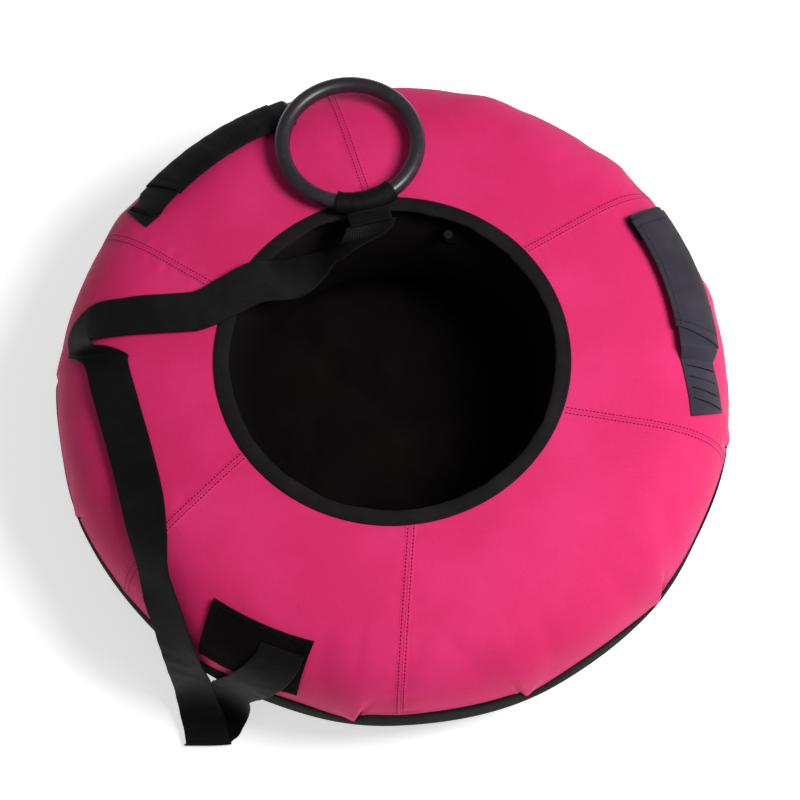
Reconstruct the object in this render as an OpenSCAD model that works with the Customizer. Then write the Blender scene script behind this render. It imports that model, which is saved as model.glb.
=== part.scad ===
// Towable tube: a rubber inner tube inside a sewn fabric cover, with two webbing
// handles, a tow patch, a flat tow strap and a round tow ring.
// Millimetres. The origin is on the floor under the middle of the tube, with +Z up.
// +X points to the right handle, and the tow patch is at the front left (-X, -Y).

/* [Tube] */
// Outer diameter of the covered tube
outer_d = 800; // [760:10:900]
// Height of the cover, from the floor to the taut top panels
cover_h = 209; // [200:1:220]
// Radius of the crown line, where the top panels leave the rubber tube
crown_r = 284; // [280:1:288]
// Squareness of the inflated section: 2 is an ellipse
section_power = 2.5; // [2.3:0.1:2.8]
// Wall of the rubber inner tube
rubber_t = 2; // [1.5:0.5:3]
// Thickness of the cover fabric
cover_t = 1.5; // [1:0.1:2]

/* [Seat opening] */
// Diameter of the pink edge round the opening, which is the outside of the binding
hole_d = 410; // [400:2:420]
// Width of the binding tape as it shows from above
binding_w = 18; // [14:1:20]
// Thickness of one layer of the binding tape
tape_t = 1; // [0.8:0.1:1.2]

/* [Panels] */
// Direction of the middle of the right handle's panel
right_az = 10; // [8:1:12]
// Direction of the middle of the left handle's panel
left_az = 127; // [125:1:129]
// Direction of the middle of the tow patch's panel
tow_az = 245; // [243:1:247]
// Half the angle between a narrow panel's two seams, measured at the opening
seam_half_hole = 30; // [28:1:32]
// Half the angle between the same seams at the outer edge
seam_half_rim = 25.3; // [24:0.1:27]

/* [Handles] */
// Thickness of the handle webbing
web_t = 2; // [1.6:0.1:2.2]
// Height of the right handle's webbing above the cover
right_gap = 12; // [11:0.5:13]
// Height of the left handle's webbing, which the ring holds down
left_gap = 8.5; // [8:0.1:8.6]
// Wall of the grip sleeve
grip_t = 1.2; // [1:0.1:1.4]
// Play between the webbing and the grip sleeve
grip_play = 0.3; // [0.3:0.05:0.4]
// Angle that a grip sleeve covers round the tube
grip_arc = 27; // [24:1:27]

/* [Valve] */
// Diameter of the valve stem
stem_d = 8; // [7:0.5:9]
// Length of the valve stem above its rubber base
stem_l = 17; // [14:1:18]
// Diameter of the valve cap
cap_d = 10.5; // [10.5:0.5:12]

/* [Tow ring] */
// Radius from the ring's centre to the middle of its round bar
ring_r = 81; // [78:1:82]
// Diameter of the ring's bar
ring_bar_d = 19; // [17:0.5:19]

/* [Tow strap] */
// Width of the tow webbing
strap_w = 50; // [44:1:50]
// Thickness of the tow webbing
strap_t = 2.5; // [2:0.1:2.5]
// Width of the tow patch
patch_w = 120; // [110:1:130]
// Thickness of the tow patch
patch_t = 1.5; // [1:0.1:1.5]

/* [Hidden] */
$fn = 96;

pink = [0.84, 0.06, 0.28];
black = [0.05, 0.05, 0.055];

// The section of the inflated tube is a superellipse about its own middle.
half_w = outer_d / 2 - crown_r;
half_h = cover_h / 2;
hole_r = hole_d / 2;
open_r = hole_r - binding_w;
quarter_steps = 14;
seam_step = 2;
e = 2 / section_power;

// A point of the section at the angle t, pushed out by off along the surface's normal.
function sec(t, off = 0) =
    let (c = max(cos(t), 0), s = sin(t), g = sign(s),
         n = [pow(c, 2 - e) / half_w, g * pow(abs(s), 2 - e) / half_h])
    [crown_r + half_w * pow(c, e), half_h + g * half_h * pow(abs(s), e)] + off * n / norm(n);

// The same section made smaller by in, with side -1 for the half that faces the opening.
function ring_point(t, in, side) =
    [crown_r + side * (half_w - in) * pow(max(cos(t), 0), e),
     half_h + sign(sin(t)) * (half_h - in) * pow(abs(sin(t)), e)];

// Points of the section from the step i0 to the step i1, where quarter_steps make a right angle.
// The top panels are sewn to the bottom cover at seam_step, a little above the widest line.
function quarter(i0, i1, in, side = 1) =
    [for (i = [i0:(i1 > i0 ? 1 : -1):i1]) ring_point(90 * i / quarter_steps, in, side)];

// The outer skin between two section angles, from the height lo above it to the height hi.
function skin(t0, t1, lo, hi, steps = 6) = concat(
    [for (i = [0:steps]) sec(t0 + (t1 - t0) * i / steps, lo)],
    [for (i = [0:steps]) sec(t1 + (t0 - t1) * i / steps, hi)]);

module sector(a0, a1) {
    rotate([0, 0, a0])
        rotate_extrude(angle = a1 - a0)
            children();
}

// ---------------------------------------------------------------- rubber inner tube and valve

module tube_section(in) {
    polygon(concat(
        quarter(0, quarter_steps, in), quarter(quarter_steps, 0, in, -1),
        quarter(0, -quarter_steps, in, -1), quarter(-quarter_steps, 0, in)));
}

module inner_tube() {
    color([0.09, 0.09, 0.1])
        rotate_extrude()
            difference() {
                tube_section(cover_t);
                tube_section(cover_t + rubber_t);
            }
}

valve_az = 67;
valve_r = 193;
valve_z = 179;
valve_lean = 46;
base_h = 3;

// The curve of the rubber under the valve, as part of a circle
seat_mid_r = 249.3;
seat_mid_z = 124.8;
seat_curve_r = 77.83;
core_d = 3.06;
bore_d = 3.2;
cap_play = 0.1;

// The valve sits on the side of the tube that faces the opening and points to its mouth.
module at_valve() {
    rotate([0, 0, valve_az])
        translate([valve_r, 0, valve_z])
            rotate([0, -valve_lean, 0])
                children();
}

module valve_base() {
    color([0.09, 0.09, 0.1])
        difference() {
            at_valve()
                union() {
                    translate([0, 0, -6])
                        cylinder(d = 34, h = 6 + base_h - 1);
                    cylinder(d1 = 18, d2 = 12, h = base_h);
                }
            rotate_extrude()
                translate([seat_mid_r, seat_mid_z])
                    circle(r = seat_curve_r);
        }
}

module valve_stem() {
    color([0.75, 0.7, 0.6])
        at_valve()
            translate([0, 0, base_h])
                difference() {
                    cylinder(d = stem_d, h = stem_l);
                    translate([0, 0, 6])
                        cylinder(d = bore_d, h = stem_l);
                }
}

module valve_core() {
    color([0.8, 0.75, 0.55])
        at_valve()
            translate([0, 0, base_h + stem_l - 6.5])
                cylinder(d = core_d, h = 6);
}

module valve_cap() {
    color([0.75, 0.75, 0.76])
        at_valve()
            translate([0, 0, base_h + stem_l - 8])
                difference() {
                    cylinder(d = cap_d, h = 11);
                    translate([0, 0, -1])
                        cylinder(d = stem_d + 2 * cap_play, h = 10);
                }
}

// ---------------------------------------------------------------- fabric cover

// A narrow panel's seams are straight lines in plan, seen from the panel's own middle line.
seam_a = [hole_r * cos(seam_half_hole), hole_r * sin(seam_half_hole)];
seam_b = [outer_d / 2 * cos(seam_half_rim), outer_d / 2 * sin(seam_half_rim)];
function seam(az, side, x) =
    let (y = side * (seam_a.y + (x - seam_a.x) * (seam_b.y - seam_a.y) / (seam_b.x - seam_a.x)))
    [x * cos(az) - y * sin(az), x * sin(az) + y * cos(az)];

module top_shell() {
    rotate_extrude()
        polygon(concat(
            quarter(seam_step, quarter_steps, 0),
            [[open_r + 2, cover_h], [open_r + 2, cover_h - cover_t]],
            quarter(quarter_steps, seam_step, cover_t)));
}

module narrow_panel(az) {
    color(pink)
        intersection() {
            top_shell();
            linear_extrude(height = cover_h + 20)
                polygon([seam(az, -1, 90), seam(az, -1, 460), seam(az, 1, 460), seam(az, 1, 90)]);
        }
}

// A wide panel fills the cover from one narrow panel's seam to the next one's.
module wide_panel(az0, az1) {
    mid = (az0 + az1) / 2;
    color(pink)
        intersection() {
            top_shell();
            linear_extrude(height = cover_h + 20)
                polygon([seam(az0, 1, 90), seam(az0, 1, 460), 640 * [cos(mid), sin(mid)],
                         seam(az1, -1, 460), seam(az1, -1, 90)]);
        }
}

module panel_right() { narrow_panel(right_az); }
module panel_left() { narrow_panel(left_az); }
module panel_tow() { narrow_panel(tow_az); }
module panel_back_right() { wide_panel(right_az, left_az); }
module panel_front_left() { wide_panel(left_az, tow_az); }
module panel_front_right() { wide_panel(tow_az, right_az + 360); }

module bottom_cover() {
    color(black)
        rotate_extrude()
            polygon(concat(
                [[0, 0]], quarter(-quarter_steps, seam_step, 0),
                quarter(seam_step, -quarter_steps, cover_t), [[0, cover_t]]));
}

// Tape folded round the cut edge of the top panels.
module hole_binding() {
    top = cover_h + tape_t;
    low = cover_h - cover_t - tape_t;
    color(black)
        rotate_extrude()
            polygon([
                [open_r, low], [hole_r, low], [hole_r, low + tape_t], [open_r + 2, low + tape_t],
                [open_r + 2, cover_h], [hole_r, cover_h], [hole_r, top], [open_r, top]]);
}

module tow_patch() {
    color(black)
        intersection() {
            rotate_extrude()
                polygon(skin(19, 64, 0.15, patch_t, 9));
            rotate([0, 0, tow_az])
                translate([220, -patch_w / 2, 0])
                    cube([220, patch_w, cover_h]);
        }
}

// ---------------------------------------------------------------- handles

// The webbing's raised stretch lies across the outer shoulder between these section angles, and
// its long sewn end drifts outwards to the angles of its tip, which is cut square to that drift:
// [outer edge, inner edge, how far the inner corner runs ahead of the outer one].
web_lo = 48.5;
web_hi = 73;
tip_right = [33.5, 62.5, 3.6];
tip_left = [41, 68, 2.2];
web_points = 7;
web_mean_r = sec((web_lo + web_hi) / 2).x;
deg_mm = web_mean_r * PI / 180;
web_tip = -21;

// Where the webbing runs, as [angle from the panel's middle, height of its middle layer]: a long
// sewn end, the raised stretch under the grip, and a sewn end folded back underneath.
function web_route(gap, lo, hi) =
    let (flat = web_t / 2 + 0.2, up = gap + web_t / 2)
    concat(
        [for (i = [0:6]) [web_tip + (lo - 2.4 - web_tip) * i / 6, flat]],
        [[lo - 1.9, flat + 0.12 * gap], [lo - 1.2, flat + 0.5 * gap], [lo - 0.5, up - 0.12 * gap]],
        [for (i = [0:16]) [lo + (hi - 0.9 - lo) * i / 16, up]],
        [[hi - 0.35, up - 0.12 * gap], [hi, flat + 0.5 * gap], [hi - 0.35, flat + 0.12 * gap],
         [hi - 0.9, flat], [hi - 2.4, flat], [hi - 4, flat], [hi - 5.5, flat]]);

// The section angles of the webbing's two edges at the angle x from the panel's middle, and how
// far the inner edge runs ahead there
function web_edges(x, lo, tip) =
    let (s = max(lo - x, 0) / (lo - web_tip))
    [web_lo, web_hi, 0] + (tip - [web_lo, web_hi, 0]) * s;

// One cross-section of the webbing: its two faces are half the thickness either side of the route.
function web_ring(p, way, az, mirror, edges) =
    let (n = [-way.y, way.x] * web_t / 2)
    [for (side = [-1, 1], i = [0:web_points - 1])
        let (f = side < 0 ? i : web_points - 1 - i,
             t = edges[0] + (edges[1] - edges[0]) * f / (web_points - 1),
             q = sec(t, p.y + side * n.y), ahead = edges[2] * (0.5 - f / (web_points - 1)),
             a = az + mirror * (p.x + ahead + side * n.x / deg_mm))
        [q.x * cos(a), q.x * sin(a), q.y]];

function direction(route, i) =
    let (a = route[max(i - 1, 0)], b = route[min(i + 1, len(route) - 1)],
         d = [(b.x - a.x) * deg_mm, b.y - a.y])
    d / norm(d);

// Triangles of a tube of n-sided rings, closed at both ends.
function tube_faces(rings, n) = concat(
    [for (i = [0:rings - 2], j = [0:n - 1])
        [i * n + j, (i + 1) * n + j, i * n + (j + 1) % n]],
    [for (i = [0:rings - 2], j = [0:n - 1])
        [(i + 1) * n + j, (i + 1) * n + (j + 1) % n, i * n + (j + 1) % n]],
    [[for (j = [0:n - 1]) j]],
    [[for (j = [0:n - 1]) rings * n - 1 - j]]);

module handle_web(az, mirror, gap, lo, hi, tip) {
    route = web_route(gap, lo, hi);
    rings = [for (i = [0:len(route) - 1])
        web_ring(route[i], direction(route, i), az, mirror, web_edges(route[i].x, lo, tip))];
    faces = tube_faces(len(route), 2 * web_points);
    color(black)
        polyhedron(
            points = [for (r = rings, p = r) p],
            faces = mirror > 0 ? faces : [for (f = faces) [for (k = [len(f) - 1:-1:0]) f[k]]],
            convexity = 6);
}

// The grip is a flat sleeve that slides along the webbing, which is an arc about the tube's axis.
module grip(a0, gap) {
    in = grip_play;
    out = grip_play + grip_t;
    wide = 1.2;
    color([0.12, 0.12, 0.13])
        sector(a0, a0 + grip_arc)
            difference() {
                polygon(skin(web_lo - wide, web_hi + wide, gap - out, gap + web_t + out));
                polygon(skin(web_lo - 0.5, web_hi + 0.5, gap - in, gap + web_t + in));
            }
}

// Rows of bar-tack stitching across the long sewn end of a handle.
module handle_tacks(az, mirror, lo, tip) {
    color([0.16, 0.16, 0.17])
        for (k = [0:3]) {
            x = web_tip + 2 + k * (lo - 5.6 - web_tip) / 3;
            edges = web_edges(x, lo, tip);
            sector(az + mirror * x - 0.15, az + mirror * x + 0.15)
                polygon(skin(edges[0] + 3, edges[1] - 3, web_t + 0.25, web_t + 0.8));
        }
}

web_start_right = -9;
web_end_right = 21.5;
web_start_left = -16;
web_end_left = 17;
grip_from_right = -7;
grip_from_left = -13.5;

module handle_web_right() {
    handle_web(right_az, 1, right_gap, web_start_right, web_end_right, tip_right);
}

module handle_web_left() {
    handle_web(left_az, -1, left_gap, web_start_left, web_end_left, tip_left);
}

module grip_right() { grip(right_az + grip_from_right, right_gap); }
module grip_left() { grip(left_az + grip_from_left, left_gap); }
module handle_tacks_right() { handle_tacks(right_az, 1, web_start_right, tip_right); }
module handle_tacks_left() { handle_tacks(left_az, -1, web_start_left, tip_left); }

// ---------------------------------------------------------------- tow ring and its webbing loop

ring_x = -47;
ring_y = 271;
ring_z = 226;
loop_play = 0.3;
loop_in = ring_bar_d / 2 + loop_play;
loop_out = loop_in + strap_t;
loop_arc = 48;
loop_turn = 13;
neck_l = 17;
neck_r = ring_r + loop_out + 0.3;

// The strap's end is drawn about the ring's middle, turned to the side that the strap comes from.
module at_loop() {
    translate([ring_x, ring_y, ring_z])
        rotate([0, 0, loop_turn])
            children();
}

module tow_ring() {
    color([0.03, 0.03, 0.035])
        translate([ring_x, ring_y, ring_z])
            rotate_extrude()
                translate([ring_r, 0])
                    circle(d = ring_bar_d, $fn = 48);
}

// The end of the strap wrapped once round the ring's bar.
module strap_loop() {
    color(black)
        at_loop()
            sector(270 - loop_arc / 2, 270 + loop_arc / 2)
                translate([ring_r, 0])
                    difference() {
                        circle(r = loop_out, $fn = 48);
                        circle(r = loop_in, $fn = 48);
                    }
}

// Two layers of the strap sewn together behind the loop.
module strap_neck() {
    color(black)
        at_loop()
            translate([-strap_w / 2, -neck_r - neck_l, -strap_t])
                cube([strap_w, neck_l, 2 * strap_t]);
}

module neck_tacks() {
    color([0.16, 0.16, 0.17])
        at_loop()
            for (k = [0:2])
                translate([5 - strap_w / 2, -neck_r - 4 - k * 4.5, strap_t])
                    cube([strap_w - 10, 1.2, 0.6]);
}

// ---------------------------------------------------------------- tow strap

// Where the strap ends behind the loop, and how it lies there
strap_end_r = neck_r + neck_l;
strap_end_w = [100 * cos(loop_turn), 100 * sin(loop_turn), 0];
strap_end_way = [-sin(loop_turn), cos(loop_turn), 0];

// The strap's route as [x, y, z] and the direction of its width: from its sewn end on the patch,
// down to the floor, folded back up over the tube, along it, round a curl at the left, across
// to the opening, slack into its mouth, and up to the ring.
strap_route = [
    [[-124, -340, 195], [94, -34, 0]],
    [[-132, -353, 186], [94, -34, 0]],
    [[-146, -363, 169], [93, -36, 0]],
    [[-163, -367, 145], [92, -40, 0]],
    [[-180, -363, 110], [90, -44, 0]],
    [[-190, -358, 76], [88, -47, 0]],
    [[-193, -357, 44], [88, -47, 0]],
    [[-196, -360, 18], [90, -42, 0]],
    [[-202, -369, 5.5], [96, -24, 0]],
    [[-211, -384, 3], [100, -8, 0]],
    [[-219, -396, 2.5], [100, 0, 0]],
    [[-222, -403, 6.2], [100, 0, 0]],
    [[-223, -396, 10], [100, 0, 0]],
    [[-225, -384, 12.5], [100, -4, 0]],
    [[-229, -368, 18], [99, -12, 0]],
    [[-233, -354, 36], [98, -20, 0]],
    [[-234, -349, 60], [97, -22, 0]],
    [[-236, -344, 96], [96, -25, 0]],
    [[-240, -334, 130], [92, -38, 4]],
    [[-247, -315, 160], [86, -48, 14]],
    [[-256, -288, 184], [84, -32, 42]],
    [[-266, -254, 201], [74, -12, 66]],
    [[-273, -214, 209], [88, 0, 46]],
    [[-280, -173, 213], [96, 12, 20]],
    [[-293, -124, 213.5], [96, 24, 13]],
    [[-307, -77, 213], [96, 24, 13]],
    [[-320, -34, 212], [97, 18, 15]],
    [[-331, 1, 208.5], [97, 0, 20]],
    [[-345, 10, 205], [93, 3, 36]],
    [[-357, 16, 206], [63, -19, 75]],
    [[-361, 28, 203], [59, -40, 70]],
    [[-358, 40, 202], [47, -67, 57]],
    [[-349, 48, 204.5], [26, -91, 31]],
    [[-335, 52, 208], [8, -99, 11]],
    [[-314, 53, 212], [4, -99, 7]],
    [[-288, 55, 213.5], [-2, -99, 4]],
    [[-262, 56, 213.5], [-5, -99, 3]],
    [[-224, 60, 213.5], [-6, -99, 0]],
    [[-190, 76, 214.5], [26, -96, -10]],
    [[-161, 92, 214], [48, -84, -24]],
    [[-134, 101, 205], [55, -66, -49]],
    [[-113, 109, 194], [46, -85, -10]],
    [[-91, 125, 186], [40, -84, 34]],
    [[-73, 139, 190], [40, -60, 68]],
    [[-52, 143, 207], [56, -34, 68]],
    [[-31, 147, 221], [90, 8, 36]],
    [[ring_x + strap_end_r * sin(loop_turn), ring_y - strap_end_r * cos(loop_turn), ring_z],
     strap_end_w]];
strap_turns = 2;

// A smooth curve through the route: v is the row's part (0 place, 1 width) and u runs along it.
function route_at(v, i) = strap_route[min(max(i, 0), len(strap_route) - 1)][v];
function along(v, i, u) =
    let (a = route_at(v, i - 1), b = route_at(v, i), c = route_at(v, i + 1), d = route_at(v, i + 2))
    0.5 * (2 * b + (c - a) * u + (2 * a - 5 * b + 4 * c - d) * u * u
           + (3 * b - a - 3 * c + d) * u * u * u);
strap_steps = [for (i = [0:len(strap_route) - 2], k = [0:strap_turns - 1]) [i, k / strap_turns]];
strap_line = concat([for (s = strap_steps) along(0, s.x, s.y)], [route_at(0, 99)]);
strap_wide = concat([for (s = strap_steps) along(1, s.x, s.y)], [route_at(1, 99)]);

// Each ring is a flat oblong with slightly thinned edges. Where the strap folds aslant, the ring
// is longer, so that the strap keeps its width square to the route.
strap_shape = [[0.5, 0.25], [0.48, 0.5], [-0.48, 0.5], [-0.5, 0.25],
               [-0.5, -0.25], [-0.48, -0.5], [0.48, -0.5], [0.5, -0.25]];
function strap_ring(i) =
    let (last = len(strap_line) - 1,
         d = i == last ? strap_end_way : strap_line[i + 1] - strap_line[max(i - 1, 0)],
         way = d / norm(d), side = strap_wide[i] / norm(strap_wide[i]),
         lean = norm(cross(way, side)), w = side / max(lean, 0.8), up = cross(way, side) / lean)
    [for (s = strap_shape) strap_line[i] + s.x * strap_w * w + s.y * strap_t * up];

module tow_strap() {
    n = len(strap_line);
    color(black)
        polyhedron(
            points = [for (i = [0:n - 1], p = strap_ring(i)) p],
            faces = tube_faces(n, len(strap_shape)),
            convexity = 10);
}

// ---------------------------------------------------------------- assembly

inner_tube();
valve_base();
valve_stem();
valve_core();
valve_cap();
panel_right();
panel_back_right();
panel_left();
panel_front_left();
panel_tow();
panel_front_right();
bottom_cover();
hole_binding();
tow_patch();
handle_web_right();
handle_web_left();
grip_right();
grip_left();
handle_tacks_right();
handle_tacks_left();
tow_strap();
strap_neck();
neck_tacks();
strap_loop();
tow_ring();
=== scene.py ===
import bpy
import math
import numpy as np
from mathutils import Matrix, Vector


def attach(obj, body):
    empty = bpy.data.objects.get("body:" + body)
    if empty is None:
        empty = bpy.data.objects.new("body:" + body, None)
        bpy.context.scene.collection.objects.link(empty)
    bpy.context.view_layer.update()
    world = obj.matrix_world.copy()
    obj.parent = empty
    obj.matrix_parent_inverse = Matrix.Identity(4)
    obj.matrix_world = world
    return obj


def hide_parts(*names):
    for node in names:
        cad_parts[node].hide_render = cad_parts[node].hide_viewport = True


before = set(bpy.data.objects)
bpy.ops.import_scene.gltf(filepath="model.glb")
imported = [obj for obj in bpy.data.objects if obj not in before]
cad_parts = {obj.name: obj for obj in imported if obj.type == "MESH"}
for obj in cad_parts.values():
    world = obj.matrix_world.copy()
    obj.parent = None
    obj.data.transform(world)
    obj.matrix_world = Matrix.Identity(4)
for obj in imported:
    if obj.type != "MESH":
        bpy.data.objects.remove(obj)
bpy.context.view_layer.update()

MM = 0.001
scene = bpy.context.scene

# ---------------------------------------------------------------- camera

FOCAL_PX = 1829.47
PRINCIPAL = (-7.214, -8.141)
IMAGE_PX = 800
SENSOR_MM = 36.0
CAM_AT = Vector((0.0, -0.84112, 2.13523))
CAM_AXES = (
    (0.9998824876, -0.0141677948, -0.0058553005),
    (0.0153300661, 0.9240748870, 0.3819039045),
    (0.0, -0.3819487882, 0.9241834900),
)

cam_data = bpy.data.cameras.new("camera")
cam_data.sensor_fit = "HORIZONTAL"
cam_data.sensor_width = SENSOR_MM
cam_data.lens = FOCAL_PX * SENSOR_MM / IMAGE_PX
cam_data.shift_x = -PRINCIPAL[0] / IMAGE_PX
cam_data.shift_y = PRINCIPAL[1] / IMAGE_PX
cam_data.clip_start = 0.05
cam_data.clip_end = 30.0
cam = bpy.data.objects.new("camera", cam_data)
scene.collection.objects.link(cam)
cam.matrix_world = Matrix.Translation(CAM_AT) @ Matrix(CAM_AXES).transposed().to_4x4()
scene.camera = cam

# ---------------------------------------------------------------- the tube's shape, in mm

OUTER_R = 400.0
COVER_H = 209.0
CROWN_R = 284.0
HALF_W = OUTER_R - CROWN_R
HALF_H = COVER_H / 2
HOLE_R = 205.0
POWER = 2.5
E = 2 / POWER
RIGHT_AZ, LEFT_AZ, TOW_AZ = 10.0, 127.0, 245.0


def smooth(x, a, b):
    """0 below a, 1 above b, and a soft step between."""
    t = np.clip((np.asarray(x, float) - a) / (b - a), 0, 1)
    return t * t * (3 - 2 * t)


def bell(x, width):
    """1 at 0, and soon nothing beyond the width."""
    return np.exp(-((np.asarray(x, float) / width) ** 2))


def wave(seed, *coords):
    """A smooth repeatable unevenness between about -1 and 1, from a few sine waves."""
    rng = np.random.default_rng(seed)
    total = 0.0
    for _ in range(5):
        phase = rng.uniform(0, 2 * math.pi)
        w = rng.normal(0, 1, len(coords))
        w *= rng.uniform(0.7, 1.6) / np.linalg.norm(w)
        total = total + np.sin(2 * math.pi * sum(a * c for a, c in zip(w, coords)) + phase)
    return total / 3.2


def unit(v):
    return v / np.maximum(np.linalg.norm(v, axis=-1, keepdims=True), 1e-9)


def section(t_deg, off=0.0):
    """Radius and height of the covered tube at the section angle t, pushed out by off."""
    t = np.radians(np.asarray(t_deg, float))
    c, s = np.maximum(np.cos(t), 0), np.sin(t)
    g = np.sign(s)
    n = unit(np.stack([c ** (2 - E) / HALF_W, g * np.abs(s) ** (2 - E) / HALF_H], -1))
    p = np.stack([CROWN_R + HALF_W * c ** E, HALF_H + g * HALF_H * np.abs(s) ** E], -1)
    return p + np.asarray(off)[..., None] * n, n


def lengths(points):
    """How far along a line of points each of them is."""
    return np.concatenate([[0], np.cumsum(np.linalg.norm(np.diff(points, axis=0), axis=1))])


def closed(points):
    """The points with the first one again at the end."""
    return np.concatenate([points, points[:1]])


# The way over the cover by its length s from the opening's edge: flat to the crown, over the
# rim, down to the floor.
TOP_STEPS, SHOULDER_STEPS = 60, 500
TOP_FROM_R = 150.0
ramp = np.linspace(0, 1, SHOULDER_STEPS)
shoulder_t = np.concatenate([90 * (1 - ramp ** 1.6), -90 * ramp[1:]])
shoulder_p, shoulder_n = section(shoulder_t)
top_p = np.stack([np.linspace(TOP_FROM_R, CROWN_R, TOP_STEPS)[:-1], np.full(TOP_STEPS - 1, COVER_H)], -1)
way_p = np.concatenate([top_p, shoulder_p])
way_n = np.concatenate([np.tile([0.0, 1.0], (TOP_STEPS - 1, 1)), shoulder_n])
way_s = lengths(way_p)
way_s -= np.interp(HOLE_R, way_p[:TOP_STEPS, 0], way_s[:TOP_STEPS])
S_RIM = float(way_s[TOP_STEPS + SHOULDER_STEPS - 2])
S_FLOOR = float(way_s[-1])


def cover(s):
    """Radius, height and normal of the cover at the length s from the opening's edge."""
    r, z, nr, nz = (np.interp(s, way_s, a) for a in (*way_p.T, *way_n.T))
    k = np.hypot(nr, nz)
    return r, z, nr / k, nz / k


def s_of_section(t_deg):
    """The length s at which the outer shoulder has the section angle t."""
    return np.interp(-np.asarray(t_deg, float), -shoulder_t, way_s[TOP_STEPS - 1:])


# The top panels are sewn to the bottom cover a little above the widest line, and the cloth hangs
# a little over that seam.
SEAM_SECTION = 90 * 2 / 14
SEAM_HANG = 5.0
S_SEAM = float(s_of_section(SEAM_SECTION)) + SEAM_HANG

# A narrow panel takes twice these angles at the opening and at the outside.
HALF_AT_HOLE, HALF_AT_RIM = math.radians(30), math.radians(25.3)
SEAM_A = HOLE_R * np.array([math.cos(HALF_AT_HOLE), math.sin(HALF_AT_HOLE)])
SEAM_B = OUTER_R * np.array([math.cos(HALF_AT_RIM), math.sin(HALF_AT_RIM)])


def half_angle(r):
    """Half the angle that a narrow panel takes at the radius r: its seams are straight in plan."""
    m = (SEAM_B[1] - SEAM_A[1]) / (SEAM_B[0] - SEAM_A[0])
    c = SEAM_A[1] - m * SEAM_A[0]
    r = np.asarray(r, float)
    x = (-m * c + np.sqrt(np.maximum(r * r * (1 + m * m) - c * c, 0))) / (1 + m * m)
    return np.degrees(np.arctan2(m * x + c, x))


SEAMS = [(az, side) for az in (RIGHT_AZ, LEFT_AZ, TOW_AZ) for side in (-1, 1)]
# Each seam has a row of stitches this far on both sides of it, on a welt of this half width.
ROW_GAP = 3.4
WELT = 5.2
PLEAT_DROP, MOST_DROP = 18, 27
# Where the cloth is pleated at the rim: azimuth, the side its fold leans to, and its size.
PLEATS = (
    (15, 1, 0.8), (-11.5, -1, 1.0), (-42, 1, 1.1), (-69, -1, 1.0), (-97, 1, 1.2),
    (-127, -1, 0.5), (-157, 1, 0.9), (177.6, 1, 0.8), (148, -1, 0.9), (121.5, 1, 0.8),
    (97, -1, 0.8), (70.5, 1, 1.0), (44.5, -1, 1.1),
)


def turn(a):
    """The angle between -180 and 180."""
    return (np.asarray(a, float) + 180) % 360 - 180


def arc(az, az0, r):
    """How far az is from az0 round the circle of radius r."""
    return np.radians(turn(az - az0)) * r


def seam_drop(az):
    """How far below the rim the pleats pull the seam between the top and the bottom cover."""
    d = 0.0
    for az0, lean, size in PLEATS:
        x = lean * arc(az, az0, OUTER_R)
        d = d + size * np.where(x < 0, PLEAT_DROP * bell(x, 38), PLEAT_DROP * bell(x, 9))
    return np.minimum(d, MOST_DROP) + wave(3, turn(az) / 40)


def between_pleats(az):
    """0 at a pleat and 1 halfway to the next."""
    at = np.sort([a % 360 for a, _, _ in PLEATS])
    at = np.concatenate([[at[-1] - 360], at, [at[0] + 360]])
    a = np.asarray(az, float) % 360
    k = np.clip(np.searchsorted(at, a) - 1, 0, len(at) - 2)
    return np.sin(np.pi * (a - at[k]) / (at[k + 1] - at[k])) ** 2


def relief(s, az, cloth=True):
    """How far the cover stands off the plain shape, in mm, from its pleats, seams and slack."""
    s, az = np.asarray(s, float), np.asarray(az, float)
    r = cover(np.minimum(s, S_RIM))[0]
    end = S_SEAM + seam_drop(az)
    up = np.maximum(end - s, 0)
    out = np.abs(end - s)
    d = -2.2 * between_pleats(az) * bell(s - S_RIM, 75)
    for az0, lean, size in PLEATS:
        x = lean * arc(az, az0, OUTER_R) - 0.012 * up ** 1.6
        w = 3.2 + 0.2 * up
        fade = 1.5 * bell(out, 10) + 2.2 * bell(out - 13, 9) + 0.9 * np.exp(-out / 30)
        if not cloth:
            fade = 0.9 * bell(out, 9)
        d = d + size * fade * np.where(x < 0, bell(x, 2.3 * w), bell(x, 0.62 * w))
        if cloth:
            d = d - size * 2.6 * bell(x - 1.9 * w, 0.9 * w) * np.exp(-out / 20)
            broad = smooth(up, 4, 30) * (1 - smooth(up, 70, 150))
            swell = 1.7 * bell(x, 12 + 0.3 * up) - 1.1 * bell(np.abs(x) - 30 - 0.3 * up, 16)
            d = d + size * broad * swell
    if not cloth:
        return d
    d = d + 0.7 * wave(5, r * np.cos(np.radians(az)) / 170, r * np.sin(np.radians(az)) / 170, s / 260)
    d = d + 0.9 * bell(end - s - 1.0, 2.2)
    for az0, side in SEAMS:
        x = arc(az, az0 + side * half_angle(r), r)
        a = np.abs(x)
        d = d + 0.7 * (1 - smooth(a, WELT - 0.8, WELT + 0.8)) - 0.2 * bell(x, 0.8)
        d = d - 0.5 * bell(a - ROW_GAP, 0.9)
        d = d + 0.5 * bell(a - 9, 9) * wave(11 + side, s / 17, a / 60) * smooth(a, 2, 6)
    return d


def on_cover(s, az, lift=0.0, cloth=True):
    """Points on the cover, and the plain shape's normals there."""
    s, az = np.broadcast_arrays(np.asarray(s, float), np.asarray(az, float))
    r, z, nr, nz = cover(s)
    d = relief(s, az, cloth) + lift
    a = np.radians(az)
    rr, zz = r + d * nr, z + d * nz
    p = np.stack([rr * np.cos(a), rr * np.sin(a), zz], -1)
    return p, np.stack([nr * np.cos(a), nr * np.sin(a), nz], -1)


# ---------------------------------------------------------------- meshes


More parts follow.
